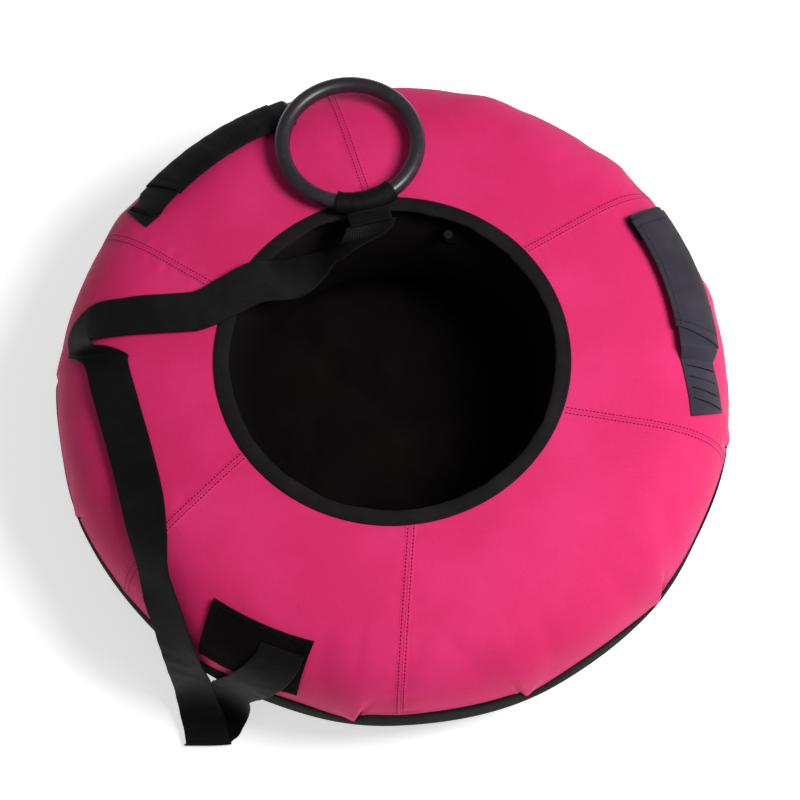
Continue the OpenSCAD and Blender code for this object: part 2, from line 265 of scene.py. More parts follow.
def grid(name, points, uv, wrap_u=False, wrap_v=False, flip=False, thick=0.0, caps=False):
    """A mesh from a net of points in mm, with a cloth map in metres; thick is added inwards."""
    nu, nv = points.shape[:2]
    mu, mv = nu - (not wrap_u), nv - (not wrap_v)
    i, j = np.meshgrid(np.arange(mu), np.arange(mv), indexing="ij")
    i2, j2 = (i + 1) % nu, (j + 1) % nv
    quads = np.stack([i * nv + j, i2 * nv + j, i2 * nv + j2, i * nv + j2], -1).reshape(-1, 4)
    maps = np.stack([uv[i, j], uv[i + 1, j], uv[i + 1, j + 1], uv[i, j + 1]], -2).reshape(-1, 4, 2)
    if flip:
        quads, maps = quads[:, ::-1], maps[:, ::-1]
    faces = quads.tolist()
    maps = maps.reshape(-1, 2)
    if caps:
        first, last = list(range(nv)), list(range((nu - 1) * nv, nu * nv))
        faces += [first[::-1], last] if flip is False else [first, last[::-1]]
        ends = [uv[0, :nv], uv[nu - 1, :nv]]
        ends = [ends[0][::-1], ends[1]] if flip is False else [ends[0], ends[1][::-1]]
        maps = np.concatenate([maps, *ends])
    me = bpy.data.meshes.new(name)
    me.from_pydata((points.reshape(-1, 3) * MM).tolist(), [], faces)
    me.uv_layers.new(name="cloth").data.foreach_set("uv", maps.astype(np.float32).ravel())
    me.polygons.foreach_set("use_smooth", [True] * len(me.polygons))
    me.update()
    o = bpy.data.objects.new(name, me)
    scene.collection.objects.link(o)
    if thick:
        m = o.modifiers.new("thickness", "SOLIDIFY")
        m.thickness, m.offset = thick * MM, -1
    return o


def merged(name, parts):
    """One mesh from many small ones, each a list of points in mm and a list of faces."""
    verts, faces, n = [], [], 0
    for p, f in parts:
        verts.append(p)
        faces += [[i + n for i in face] for face in f]
        n += len(p)
    me = bpy.data.meshes.new(name)
    me.from_pydata((np.concatenate(verts) * MM).tolist(), [], faces)
    me.polygons.foreach_set("use_smooth", [True] * len(me.polygons))
    me.update()
    o = bpy.data.objects.new(name, me)
    scene.collection.objects.link(o)
    return o


# A stitch is a row of rings: the place along half its length, its size there, and its rise.
STITCH_RINGS = ((-1.0, 0.4, -0.5), (-0.7, 0.95, 0.0), (0.0, 1.0, 0.25), (0.7, 0.95, 0.0), (1.0, 0.4, -0.5))
STITCH_SIDES = 6
STITCH_TURN = np.arange(STITCH_SIDES) * 2 * math.pi / STITCH_SIDES
stitch_net = np.arange(len(STITCH_RINGS) * STITCH_SIDES).reshape(-1, STITCH_SIDES).tolist()
STITCH_FACES = [
    [one[j], one[(j + 1) % STITCH_SIDES], two[(j + 1) % STITCH_SIDES], two[j]]
    for one, two in zip(stitch_net, stitch_net[1:]) for j in range(STITCH_SIDES)
] + [stitch_net[0][::-1], stitch_net[-1]]


def stitch(p, way, normal, length=3.2, width=0.45, high=0.32):
    """One stitch of thread that dips into the cloth at both ends."""
    w = unit(way)
    n = unit(normal - (normal @ w) * w)
    b = np.cross(n, w)
    v = [p + w * t * length / 2 + n * (rise * high + high * k * math.sin(a)) + b * width * k * math.cos(a)
         for t, k, rise in STITCH_RINGS for a in STITCH_TURN]
    return np.array(v), STITCH_FACES


def row_of_stitches(line, normals, pitch=4.3, **size):
    """Stitches along a line of points in mm."""
    at = lengths(line)
    n = max(int(at[-1] / pitch), 1)
    u = (np.arange(n) + 0.5) * at[-1] / n

    def read(rows, where):
        return np.stack([np.interp(where, at, column) for column in rows.T], -1)

    way = read(line, u + 1.0) - read(line, u - 1.0)
    return [stitch(*row, **size) for row in zip(read(line, u), way, read(normals, u))]


# ---------------------------------------------------------------- materials


def shader(name, rough, **sockets):
    m = bpy.data.materials.new(name)
    m.use_nodes = True
    nt = m.node_tree
    b = nt.nodes["Principled BSDF"]
    b.inputs["Roughness"].default_value = rough
    for key, value in sockets.items():
        b.inputs[key.replace("_", " ")].default_value = value
    return m, nt, b


def node(nt, kind, inputs=(), **settings):
    n = nt.nodes.new(kind)
    for k, v in settings.items():
        setattr(n, k, v)
    for k, v in dict(inputs).items():
        if isinstance(v, bpy.types.NodeSocket):
            nt.links.new(v, n.inputs[k])
        else:
            n.inputs[k].default_value = v
    return n


def maths(nt, op, a, b=0.0, clamp=False):
    return node(nt, "ShaderNodeMath", {0: a, 1: b}, operation=op, use_clamp=clamp).outputs[0]


def mixed(nt, factor, a, b):
    n = node(nt, "ShaderNodeMix", data_type="RGBA")
    for socket, value in zip((n.inputs[0], n.inputs[6], n.inputs[7]), (factor, a, b)):
        if isinstance(value, bpy.types.NodeSocket):
            nt.links.new(value, socket)
        else:
            socket.default_value = value
    return n.outputs[2]


def noise(nt, where, scale, detail=3.0, rough=0.5):
    inputs = {"Vector": where, "Scale": scale, "Detail": detail, "Roughness": rough}
    return node(nt, "ShaderNodeTexNoise", inputs).outputs["Fac"]


def scaled(nt, a, times, plus):
    return node(nt, "ShaderNodeMath", {0: a, 1: times, 2: plus}, operation="MULTIPLY_ADD").outputs[0]


def bump_by(nt, b, height, strength, distance):
    bumped = node(nt, "ShaderNodeBump", {"Strength": strength, "Distance": distance, "Height": height})
    nt.links.new(bumped.outputs[0], b.inputs["Normal"])


def rgb(r, g, b):
    return (r, g, b, 1.0)


def cloth(name, colour, dark, light, pitch, twill=False, bump=0.35, rough=0.75, sheen=0.2, tint=(1, 1, 1),
          dust=0.0, ribs=0.0, shine=0.35):
    """Woven cloth: threads over and under at the pitch in mm, with uneven dye, slubs and rubbing."""
    m, nt, b = shader(name, rough, Sheen_Weight=sheen, Sheen_Roughness=0.45, Sheen_Tint=rgb(*tint),
                      Specular_IOR_Level=shine)
    uv = node(nt, "ShaderNodeUVMap", uv_map="cloth").outputs[0]
    place = node(nt, "ShaderNodeTexCoord").outputs["Object"]
    xyz = node(nt, "ShaderNodeSeparateXYZ", {0: uv})
    turns = 2 * math.pi / (pitch * MM)
    u = maths(nt, "MULTIPLY", xyz.outputs[0], turns)
    v = maths(nt, "MULTIPLY", xyz.outputs[1], turns)
    if twill:
        slant = maths(nt, "ADD", maths(nt, "MULTIPLY", u, 0.5), v)
        weave = scaled(nt, maths(nt, "SINE", slant), 0.35, 0.5)
        fine = maths(nt, "MULTIPLY", maths(nt, "SINE", maths(nt, "MULTIPLY", v, 2.0)), 0.12)
        weave = maths(nt, "ADD", weave, fine)
    else:
        weave = scaled(nt, maths(nt, "MULTIPLY", maths(nt, "SINE", u), maths(nt, "SINE", v)), 0.5, 0.5)
    along, across = (
        noise(nt, node(nt, "ShaderNodeMapping", {0: uv, "Scale": scale}).outputs[0], 1.0, 2.0)
        for scale in ((900, 160, 1), (160, 900, 1)))
    slubs = maths(nt, "ADD", along, across)
    blotch = noise(nt, place, 9.0, 4.0)
    grain = maths(nt, "ADD", maths(nt, "MULTIPLY", weave, 0.5), maths(nt, "MULTIPLY", slubs, 0.25))
    shade = maths(nt, "SUBTRACT", maths(nt, "MULTIPLY", grain, 1.5), 0.25, clamp=True)
    base = mixed(nt, shade, rgb(*dark), rgb(*colour))
    tone = maths(nt, "MULTIPLY", maths(nt, "SUBTRACT", blotch, 0.42, clamp=True), 1.6, clamp=True)
    base = mixed(nt, tone, base, rgb(*light))
    if dust:
        specks = noise(nt, place, 240.0, 5.0, 0.7)
        film = noise(nt, place, 22.0, 4.0, 0.6)
        fluff = maths(nt, "MULTIPLY", maths(nt, "GREATER_THAN", specks, 0.69), 0.8)
        haze = maths(nt, "MULTIPLY", maths(nt, "SUBTRACT", film, 0.45, clamp=True), 1.2)
        share = maths(nt, "MULTIPLY", maths(nt, "ADD", fluff, haze), dust, clamp=True)
        base = mixed(nt, share, base, rgb(0.3, 0.29, 0.3))
    nt.links.new(base, b.inputs["Base Color"])
    nt.links.new(scaled(nt, blotch, 0.16, rough - 0.08), b.inputs["Roughness"])
    height = maths(nt, "ADD", weave, maths(nt, "MULTIPLY", slubs, 0.4))
    if ribs:
        rib = maths(nt, "SINE", maths(nt, "MULTIPLY", xyz.outputs[1], 2 * math.pi / (ribs * MM)))
        height = maths(nt, "ADD", height, rib)
    bump_by(nt, b, height, bump, 0.0005)
    return m


def thread(name, colour, dark):
    """Twisted thread: fine slanted strands on the object's own coordinates."""
    m, nt, b = shader(name, 0.7, Specular_IOR_Level=0.08)
    place = node(nt, "ShaderNodeTexCoord").outputs["Object"]
    inputs = {"Vector": place, "Scale": 700.0, "Distortion": 2.0}
    strands = node(nt, "ShaderNodeTexWave", inputs).outputs["Fac"]
    nt.links.new(mixed(nt, strands, rgb(*dark), rgb(*colour)), b.inputs["Base Color"])
    bump_by(nt, b, strands, 0.4, 0.0002)
    return m


def moulded(name, colour, worn, rough, scale, metallic=0.0, bump=0.2, **sockets):
    """Rubber, plastic or metal: an uneven skin with scuffs where the noise is highest."""
    m, nt, b = shader(name, rough, Metallic=metallic, **sockets)
    place = node(nt, "ShaderNodeTexCoord").outputs["Object"]
    fine = noise(nt, place, scale, 6.0, 0.6)
    wide = noise(nt, place, scale * 0.06, 4.0)
    scuff = maths(nt, "MULTIPLY", maths(nt, "SUBTRACT", fine, 0.55, clamp=True), 2.2, clamp=True)
    nt.links.new(mixed(nt, scuff, rgb(*colour), rgb(*worn)), b.inputs["Base Color"])
    nt.links.new(scaled(nt, maths(nt, "ADD", fine, wide), 0.18, rough - 0.12), b.inputs["Roughness"])
    bump_by(nt, b, fine, bump, 0.0004)
    return m


PINK = cloth("pink_oxford", (0.79, 0.027, 0.165), (0.53, 0.015, 0.095), (0.82, 0.042, 0.205), 1.7,
             bump=0.5, rough=0.62, sheen=0.02, tint=(1.0, 0.4, 0.6), shine=0.14)
BLACK = cloth("black_oxford", (0.005, 0.0033, 0.0035), (0.0018, 0.0012, 0.0014), (0.0085, 0.006, 0.006), 1.3,
              bump=0.4, rough=0.75, sheen=0.0, dust=0.015, shine=0.04)
TAPE = cloth("binding_tape", (0.011, 0.008, 0.01), (0.004, 0.003, 0.004), (0.017, 0.013, 0.015), 1.3,
             bump=0.5, rough=0.7, sheen=0.02, dust=0.05, shine=0.1)
WEBBING = cloth("webbing", (0.006, 0.0052, 0.0062), (0.0012, 0.001, 0.0013), (0.011, 0.01, 0.0115), 2.2,
                twill=True, bump=1.0, rough=0.6, sheen=0.01, dust=0.03, shine=0.12)
# The left grip's sleeve: the right grip's cloth made darker, painted shade for the side away from the key
# light.
SHADED_GRIP_CLOTH = cloth("grip_cloth_painted_shade", (0.008, 0.007, 0.0085), (0.002, 0.0018, 0.0022), (0.013, 0.012, 0.014),
                    1.6, bump=0.6, rough=0.65, sheen=0.01, dust=0.04, shine=0.08)
GRIP_CLOTH = cloth("grip_cloth", (0.036, 0.03, 0.046), (0.011, 0.009, 0.014), (0.052, 0.045, 0.064), 1.6,
                   bump=0.6, rough=0.6, sheen=0.05, dust=0.12, shine=0.2)
HANDLE_WEBBING = cloth("handle_webbing", (0.038, 0.031, 0.05), (0.009, 0.007, 0.012), (0.055, 0.046, 0.07),
                       1.7, twill=True, bump=0.8, rough=0.55, sheen=0.03, dust=0.06, shine=0.2)
DARK_THREAD = thread("dark_thread", (0.016, 0.001, 0.006), (0.006, 0.0005, 0.002))
BLACK_THREAD = thread("black_thread", (0.012, 0.011, 0.012), (0.004, 0.004, 0.0045))
RUBBER = moulded("rubber", (0.0034, 0.0022, 0.0025), (0.007, 0.0055, 0.0055), 0.7, 260.0,
                 Specular_IOR_Level=0.08)
RING_PLASTIC = moulded("ring_plastic", (0.018, 0.0155, 0.021), (0.055, 0.052, 0.068), 0.34, 90.0, bump=0.25,
                       Coat_Weight=0.2, Coat_Roughness=0.22, Specular_IOR_Level=0.45)
BRASS = moulded("valve_brass", (0.3, 0.21, 0.1), (0.14, 0.09, 0.045), 0.34, 900.0, metallic=1.0)
PLATED = moulded("plated_cap", (0.07, 0.066, 0.06), (0.03, 0.028, 0.025), 0.25, 900.0, metallic=1.0)


def give(o, material, body="tube", nodes=()):
    """The piece's material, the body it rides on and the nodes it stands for."""
    o.data.materials.clear()
    o.data.materials.append(material)
    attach(o, body)
    if nodes:
        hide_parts(*nodes)


# ---------------------------------------------------------------- tow strap, the free cord

STRAP_W, STRAP_T = 50.0, 2.5
RING_AT = np.array([-47.0, 271.0, 226.0])
RING_R, RING_BAR = 81.0, 19.0
LOOP_TURN_DEG = 13
LOOP_TURN = math.radians(LOOP_TURN_DEG)
LOOP_PLAY = 0.3
NECK_R = RING_R + RING_BAR / 2 + LOOP_PLAY + STRAP_T + LOOP_PLAY
NECK_L, NECK_T = 17.0, 5.4
NECK_WAY = np.array([-math.sin(LOOP_TURN), math.cos(LOOP_TURN), 0.0])
NECK_SIDE = np.array([math.cos(LOOP_TURN), math.sin(LOOP_TURN), 0.0])
STRAP_END = RING_AT - (NECK_R + NECK_L) * NECK_WAY
# The route of the strap from its sewn end on the patch, in metres, and the way its width lies.
ROUTE = (
    ((-0.124, -0.34, 0.195), (94, -34, 0)),
    ((-0.132, -0.353, 0.186), (94, -34, 0)),
    ((-0.146, -0.363, 0.169), (93, -36, 0)),
    ((-0.163, -0.367, 0.145), (92, -40, 0)),
    ((-0.18, -0.363, 0.11), (90, -44, 0)),
    ((-0.19, -0.358, 0.076), (88, -47, 0)),
    ((-0.193, -0.357, 0.044), (88, -47, 0)),
    ((-0.196, -0.36, 0.018), (90, -42, 0)),
    ((-0.202, -0.369, 0.0055), (96, -24, 0)),
    ((-0.211, -0.384, 0.003), (100, -8, 0)),
    ((-0.219, -0.396, 0.0025), (100, 0, 0)),
    ((-0.222, -0.403, 0.0062), (100, 0, 0)),
    ((-0.223, -0.396, 0.01), (100, 0, 0)),
    ((-0.225, -0.384, 0.0125), (100, -4, 0)),
    ((-0.229, -0.368, 0.018), (99, -12, 0)),
    ((-0.233, -0.354, 0.036), (98, -20, 0)),
    ((-0.234, -0.349, 0.06), (97, -22, 0)),
    ((-0.236, -0.344, 0.096), (96, -25, 0)),
    ((-0.24, -0.334, 0.13), (92, -38, 4)),
    ((-0.247, -0.315, 0.16), (86, -48, 14)),
    ((-0.256, -0.288, 0.184), (84, -32, 42)),
    ((-0.266, -0.254, 0.201), (74, -12, 66)),
    ((-0.273, -0.214, 0.209), (88, 0, 46)),
    ((-0.28, -0.173, 0.213), (96, 12, 20)),
    ((-0.293, -0.124, 0.2135), (96, 24, 13)),
    ((-0.307, -0.077, 0.213), (96, 24, 13)),
    ((-0.32, -0.034, 0.212), (97, 18, 15)),
    ((-0.331, 0.001, 0.2085), (97, 0, 20)),
    ((-0.345, 0.01, 0.205), (93, 3, 36)),
    ((-0.357, 0.016, 0.206), (63, -19, 75)),
    ((-0.361, 0.028, 0.203), (59, -40, 70)),
    ((-0.358, 0.04, 0.202), (47, -67, 57)),
    ((-0.349, 0.048, 0.2045), (26, -91, 31)),
    ((-0.335, 0.052, 0.208), (8, -99, 11)),
    ((-0.314, 0.053, 0.212), (4, -99, 7)),
    ((-0.288, 0.055, 0.2135), (-2, -99, 4)),
    ((-0.262, 0.056, 0.2135), (-5, -99, 3)),
    ((-0.224, 0.06, 0.2135), (-6, -99, 0)),
    ((-0.19, 0.076, 0.2145), (26, -96, -10)),
    ((-0.161, 0.092, 0.214), (48, -84, -24)),
    ((-0.134, 0.101, 0.205), (55, -66, -49)),
    ((-0.113, 0.109, 0.194), (46, -85, -10)),
    ((-0.091, 0.125, 0.186), (40, -84, 34)),
    ((-0.073, 0.139, 0.19), (40, -60, 68)),
    ((-0.052, 0.143, 0.207), (56, -34, 68)),
    ((-0.031, 0.147, 0.221), (90, 8, 36)),
    (tuple(STRAP_END * MM), tuple(100 * NECK_SIDE)),
)


def through(rows, turns):
    """A smooth curve through the rows, with that many points to each step."""
    p = np.asarray(rows, float)
    q = np.concatenate([p[:1], p, p[-1:]])
    u = (np.arange(turns) / turns)[:, None]
    out = []
    for a, b, c, d in zip(q[:-3], q[1:-2], q[2:-1], q[3:]):
        out.append(0.5 * (2 * b + (c - a) * u + (2 * a - 5 * b + 4 * c - d) * u ** 2
                          + (3 * b - a - 3 * c + d) * u ** 3))
    return np.concatenate([*out, p[-1:]])


# Points across one face of a webbing, closer together at its edges, and where they lie: on the
# top face one way and on the lower face back.
ACROSS = 17
across_half = np.sin(np.linspace(-1, 1, ACROSS) * math.pi / 2)
ACROSS_X = np.concatenate([across_half, across_half[::-1]])
ACROSS_TOP = np.concatenate([np.ones(ACROSS), -np.ones(ACROSS)])
ACROSS_FAT = np.sqrt(np.maximum(1 - np.clip((np.abs(ACROSS_X) - 0.9) / 0.1, 0, 1) ** 2, 0))
EDGE_FAT = 0.32


def ribbon(name, line, side, width, thick, shape):
    """Flat webbing along a line in mm: side is the way of its width; shape(x, s) lifts it off flat."""
    way = unit(np.gradient(line, axis=0))
    square = np.cross(way, unit(side))
    lean = np.linalg.norm(square, axis=-1, keepdims=True)
    w = unit(side) / np.maximum(lean, 0.8)
    up = square / np.maximum(lean, 1e-6)
    s = lengths(line)
    x = ACROSS_X
    high = ACROSS_TOP * thick / 2 * (EDGE_FAT + (1 - EDGE_FAT) * ACROSS_FAT)
    lift = shape(x[None, :], s[:, None])
    p = (line[:, None] + (x[None, :, None] * width / 2) * w[:, None]
         + ((high[None, :] + lift)[..., None]) * up[:, None])
    uv = np.empty((len(s), 2 * ACROSS + 1, 2))
    uv[..., 0] = s[:, None] * MM
    uv[:, :-1, 1] = x * width / 2 * MM
    uv[:, -1, 1] = uv[:, 0, 1]
    return grid(name, p, uv, wrap_v=True, caps=True)


ROUTE_STEPS = 9
strap_line = through(np.array([p for p, _ in ROUTE]) / MM, ROUTE_STEPS)
strap_side = through([w for _, w in ROUTE], ROUTE_STEPS)


def strap_shape(x, s):
    """Slack webbing: it cups a little, its edges ripple, and soft creases cross it."""
    cup = 0.9 * wave(21, s / 210) * (x ** 2 - 0.35)
    ripple = 0.8 * wave(22, s / 75, x * 0.4) * np.abs(x) ** 3
    crease = 0.35 * wave(23, s / 23, x * 0.6)
    return cup + ripple + crease


strap = ribbon("tow_strap_webbing", strap_line, strap_side, STRAP_W, STRAP_T, strap_shape)
give(strap, WEBBING, nodes=("tow_strap",))

# The sewn end behind the ring: two layers sewn together, and the wrap round the ring's bar.
neck_line = np.array([STRAP_END - 2 * NECK_WAY + k * NECK_WAY for k in np.linspace(0, NECK_L + 1.6, 14)])
neck_side = np.tile(NECK_SIDE, (len(neck_line), 1))


def neck_shape(x, s):
    return 0.5 * wave(31, s / 18, x)


neck = ribbon("strap_neck_layers", neck_line, neck_side, STRAP_W + 1.0, NECK_T, neck_shape)
give(neck, WEBBING, nodes=("strap_neck",))

WRAP_IN = RING_BAR / 2 + LOOP_PLAY
WRAP_ARC = 48.0
WRAP_GIRTH = 0.08
WRAP_U, WRAP_V = 44, 56
wrap_a = np.radians(270 + LOOP_TURN_DEG + np.linspace(-WRAP_ARC / 2, WRAP_ARC / 2, WRAP_U))
wrap_b = np.linspace(0, 2 * math.pi, WRAP_V, endpoint=False)


def wrap_points(out):
    """One face of the wrap, that far from the middle of the ring's bar."""
    a, b = np.meshgrid(wrap_a, wrap_b, indexing="ij")
    x = (a - wrap_a.mean()) / (wrap_a[-1] - wrap_a[0]) * 2
    r = out + 0.45 * wave(33, x * 3, np.sin(b), np.cos(b)) + 0.5 * np.abs(x) ** 6
    r = np.maximum(r, WRAP_IN)
    ring = RING_R + r * np.cos(b)
    return RING_AT + np.stack([ring * np.cos(a), ring * np.sin(a), r * np.sin(b)], -1)


outer, inner = wrap_points(WRAP_IN + STRAP_T + 0.2), wrap_points(WRAP_IN + 0.05)
wrap_p = np.concatenate([outer, inner[::-1]])
wrap_uv = np.zeros((len(wrap_p) + 1, WRAP_V + 1, 2))
wrap_uv[..., 0] = np.linspace(0, WRAP_GIRTH, WRAP_V + 1)[None, :]
wrap_x = np.linspace(-STRAP_W / 2, STRAP_W / 2, WRAP_U)
wrap_uv[..., 1] = closed(np.concatenate([wrap_x, wrap_x[::-1]]))[:, None] * MM
wrap = grid("strap_wrap", wrap_p, wrap_uv, wrap_u=True, wrap_v=True)
give(wrap, WEBBING, body="loop", nodes=("strap_loop",))

# Each bar tack is a zigzag of stitches.
TACK_SIZE = {"width": 0.5, "high": 0.5}
NECK_TACKS, NECK_STITCHES, NECK_TACK_W = 3, 23, 42
UP = np.array([0, 0, 1.0])
tacks = []
for k in range(NECK_TACKS):
    base = RING_AT - (NECK_R + 4.6 + 4.5 * k) * NECK_WAY + np.array([0, 0, NECK_T / 2 + 0.2])
    for i in range(NECK_STITCHES):
        x = -NECK_TACK_W / 2 + NECK_TACK_W * i / (NECK_STITCHES - 1)
        zig = 1 if i % 2 else -1
        p = base + NECK_SIDE * x + NECK_WAY * 0.9 * zig
        tacks.append(stitch(p, NECK_SIDE * 1.9 + NECK_WAY * 1.5 * zig, UP, length=3.0, **TACK_SIZE))
neck_tacks = merged("neck_bar_tacks", tacks)
give(neck_tacks, BLACK_THREAD, nodes=("neck_tacks",))


# ---------------------------------------------------------------- top cover

# The panels run this far into the opening, under its binding.
EDGE_S = -14.0
CLOTH_T = 1.3
NEAR_SPOT = 18.0


def spaced(width, fine, coarse, edge, spots=()):
    """Shares of the width from 0 to 1, closer together near both ends and near the spots."""
    x = [0.0]
    while x[-1] < width:
        at = x[-1]
        close = min(at, width - at) < edge or any(abs(at - p) < NEAR_SPOT for p in spots)
        x.append(at + (fine if close else coarse))
    x = np.array(x)
    return x / x[-1]


def panel(name, low, high, cad_node):
    """One top panel between two seams, each an azimuth and a side of a narrow panel."""
    def seam_az(which, r):
        return which[0] + which[1] * half_angle(r)
    a0, a1 = float(seam_az(low, OUTER_R)), float(seam_az(high, OUTER_R))
    width = math.radians(a1 - a0) * OUTER_R
    spots = [math.radians((p[0] - a0) % 360) * OUTER_R for p in PLEATS]
    u = spaced(width, 1.1, 3.0, 13.0, [p for p in spots if p < width])
    v = np.unique(np.concatenate([np.linspace(0, 0.82, 62), np.linspace(0.82, 1, 34)]))
    rim_az = a0 + u * (a1 - a0)
    s = EDGE_S + v[None, :] * (S_SEAM + seam_drop(rim_az) - EDGE_S)[:, None]
    r = cover(np.minimum(s, S_RIM))[0]
    lo, hi = seam_az(low, r), seam_az(high, r)
    az = lo + u[:, None] * (hi - lo)
    p, _ = on_cover(s, az)
    middle = (low[0] + high[0]) / 2
    uv = np.stack([np.radians(az - middle) * r, s], -1) * MM
    o = grid(name, p, uv, flip=True, thick=CLOTH_T)
    give(o, PINK, nodes=(cad_node,))
    sides = np.linalg.norm(np.diff(p, axis=0), axis=-1).sum(0)
    flat = (round(float(sides.max()) * MM, 3), round(float(s.max() - s.min()) * MM, 3))
    a, b = p[1:, :-1] - p[:-1, :-1], p[:-1, 1:] - p[:-1, :-1]
    area = float(np.linalg.norm(np.cross(a, b), axis=-1).sum()) * MM * MM
    area = round(min(area, flat[0] * flat[1]), 4)


PANELS = (
    ("cover_right", (RIGHT_AZ, -1), (RIGHT_AZ, 1), "panel_right"),
    ("cover_back_right", (RIGHT_AZ, 1), (LEFT_AZ, -1), "panel_back_right"),
    ("cover_left", (LEFT_AZ, -1), (LEFT_AZ, 1), "panel_left"),
    ("cover_front_left", (LEFT_AZ, 1), (TOW_AZ, -1), "panel_front_left"),
    ("cover_tow", (TOW_AZ, -1), (TOW_AZ, 1), "panel_tow"),
    ("cover_front_right", (TOW_AZ, 1), (RIGHT_AZ + 360, -1), "panel_front_right"),
)

# ---------------------------------------------------------------- rubber inner tube

TUBE_U, TUBE_V = 288, 88
theta = np.linspace(0, 360, TUBE_U, endpoint=False)
t = np.linspace(-180, 180, TUBE_V, endpoint=False)
side = np.where(np.abs(t) <= 90, 1.0, -1.0)
fold = np.where(np.abs(t) <= 90, t, np.sign(t) * 180 - t)
sec, nrm = section(fold)
inward = 1.9 + 5.0 * (side > 0) * np.cos(np.radians(fold)) + 1.2 * (side > 0)
sec = sec - inward[:, None] * nrm
rr = CROWN_R + side * (sec[:, 0] - CROWN_R)
az, r2 = np.meshgrid(theta, rr, indexing="ij")
z2 = np.broadcast_to(sec[:, 1], r2.shape)
ridge = -0.5 * bell(z2 - HALF_H, 1.4) * (side < 0)
slack = 0.5 * wave(41, np.cos(np.radians(az)) * 3, np.sin(np.radians(az)) * 3, z2 / 60) * (side < 0)
r2 = r2 + ridge + slack
a = np.radians(az)
tube_uv = np.zeros((TUBE_U + 1, TUBE_V + 1, 2))
tube_uv[..., 0] = np.linspace(0, 1.8, TUBE_U + 1)[:, None]
tube_uv[..., 1] = np.linspace(0, 0.7, TUBE_V + 1)[None, :]
tube = grid("inner_tube_rubber", np.stack([r2 * np.cos(a), r2 * np.sin(a), z2], -1), tube_uv,
            wrap_u=True, wrap_v=True)
give(tube, RUBBER, nodes=("inner_tube",))

for row in PANELS:
    panel(*row)

# ---------------------------------------------------------------- bottom cover

BOTTOM_U = 900
az1 = np.linspace(0, 360, BOTTOM_U, endpoint=False)
wall = np.concatenate([np.linspace(0, 0.25, 22)[:-1], np.linspace(0.25, 1, 34)])
start = S_SEAM + seam_drop(az1) - 7.0
s = start[:, None] + wall[None, :] * (S_FLOOR - start)[:, None]
az = np.broadcast_to(az1[:, None], s.shape)
below = s - (S_SEAM + seam_drop(az))
under = -CLOTH_T - 0.5 + 2.6 * smooth(below, -0.5, 4.0) + 1.2 * smooth(below, 2, 14)
lip = 0.5 * bell(below - 4.5, 2.2)
settle = 1 - smooth(s, S_FLOOR - 60, S_FLOOR - 8)
r, z, nr, nz = cover(s)
d = (relief(s, az, cloth=False) + under + lip + 0.8 * wave(43, az / 30, s / 60)) * settle
a = np.radians(az)
wall_p = np.stack([(r + d * nr) * np.cos(a), (r + d * nr) * np.sin(a), np.maximum(z + d * nz, 0.05)], -1)
disc_r = np.concatenate([np.linspace(CROWN_R, 170, 14)[1:], np.linspace(170, 0.05, 56)[1:]])
az_d, r_d = np.meshgrid(az1, disc_r, indexing="ij")
x, y = r_d * np.cos(np.radians(az_d)), r_d * np.sin(np.radians(az_d))
crumple = np.maximum(wave(45, x / 120, y / 120) + 0.5 * wave(46, x / 55, y / 55), 0)
z_d = 0.05 + 2.2 * crumple * (1 - smooth(r_d, 120, 178))
disc_p = np.stack([x, y, z_d], -1)
bottom_p = np.concatenate([wall_p, disc_p], 1)
run = np.concatenate([s, S_FLOOR + CROWN_R - r_d], 1)
around = np.radians(np.concatenate([az1, [360.0]]))
bottom_uv = np.stack([
    around[:, None] * 300.0 * np.ones(run.shape[1])[None, :],
    np.concatenate([run, run[:1]], 0)], -1) * MM
bottom = grid("bottom_cover_cloth", bottom_p, bottom_uv, wrap_u=True, flip=True, thick=CLOTH_T)
give(bottom, BLACK, nodes=("bottom_cover",))

# ---------------------------------------------------------------- binding of the opening

BIND_U = 540
TAPE_MID_R, TAPE_ROW_R = 196, 202.4
th = np.linspace(0, 2 * math.pi, BIND_U, endpoint=False)
# The tape's outline in a cut through the opening's edge, as (radius, height off the cover's top):
# outside from the upper edge round the fold to the lower edge, then inside and back.
outer_loop = [(205.6, 0.9), (204.6, 1.35), (201, 1.45), (196, 1.6), (191.5, 1.5), (188.6, 0.6), (187.3, -0.7),
              (188.6, -2.0), (191.5, -2.8), (197, -2.9), (204.6, -2.8), (205.4, -2.4)]
inner_loop = [(204.4, -1.8), (197, -1.8), (191.5, -1.7), (189.3, -0.9), (189.2, -0.2), (191.5, 0.35),
              (197, 0.45), (204.4, 0.45)]
loop = np.array(outer_loop + inner_loop)


def around_wave(seed, turns):
    """The unevenness round the opening, with that many turns or so."""
    return wave(seed, np.cos(th) * turns, np.sin(th) * turns)


edge_in = 0.9 * around_wave(51, 2.2) + 0.45 * around_wave(52, 9)
edge_up = 0.9 * around_wave(53, 2.6) + 0.3 * around_wave(54, 11)
share = np.clip((loop[0, 0] - loop[:, 0]) / 18, 0, 1)
br = loop[None, :, 0] + edge_in[:, None] * share[None, :]
bz = COVER_H + loop[None, :, 1] + 0.25 + edge_up[:, None] * (0.25 + 0.75 * share[None, :])
bz = bz + relief(0.0, np.degrees(th))[:, None] * (1 - share[None, :])
bind_p = np.stack([br * np.cos(th)[:, None], br * np.sin(th)[:, None], bz], -1)
tape_run = np.linspace(0, 2 * math.pi * TAPE_MID_R, BIND_U + 1)
bind_uv = np.stack(np.meshgrid(tape_run, lengths(closed(loop)), indexing="ij"), -1) * MM
binding = grid("opening_binding", bind_p, bind_uv, wrap_u=True, wrap_v=True)
give(binding, TAPE, nodes=("hole_binding",))

# ---------------------------------------------------------------- stitching of the cover

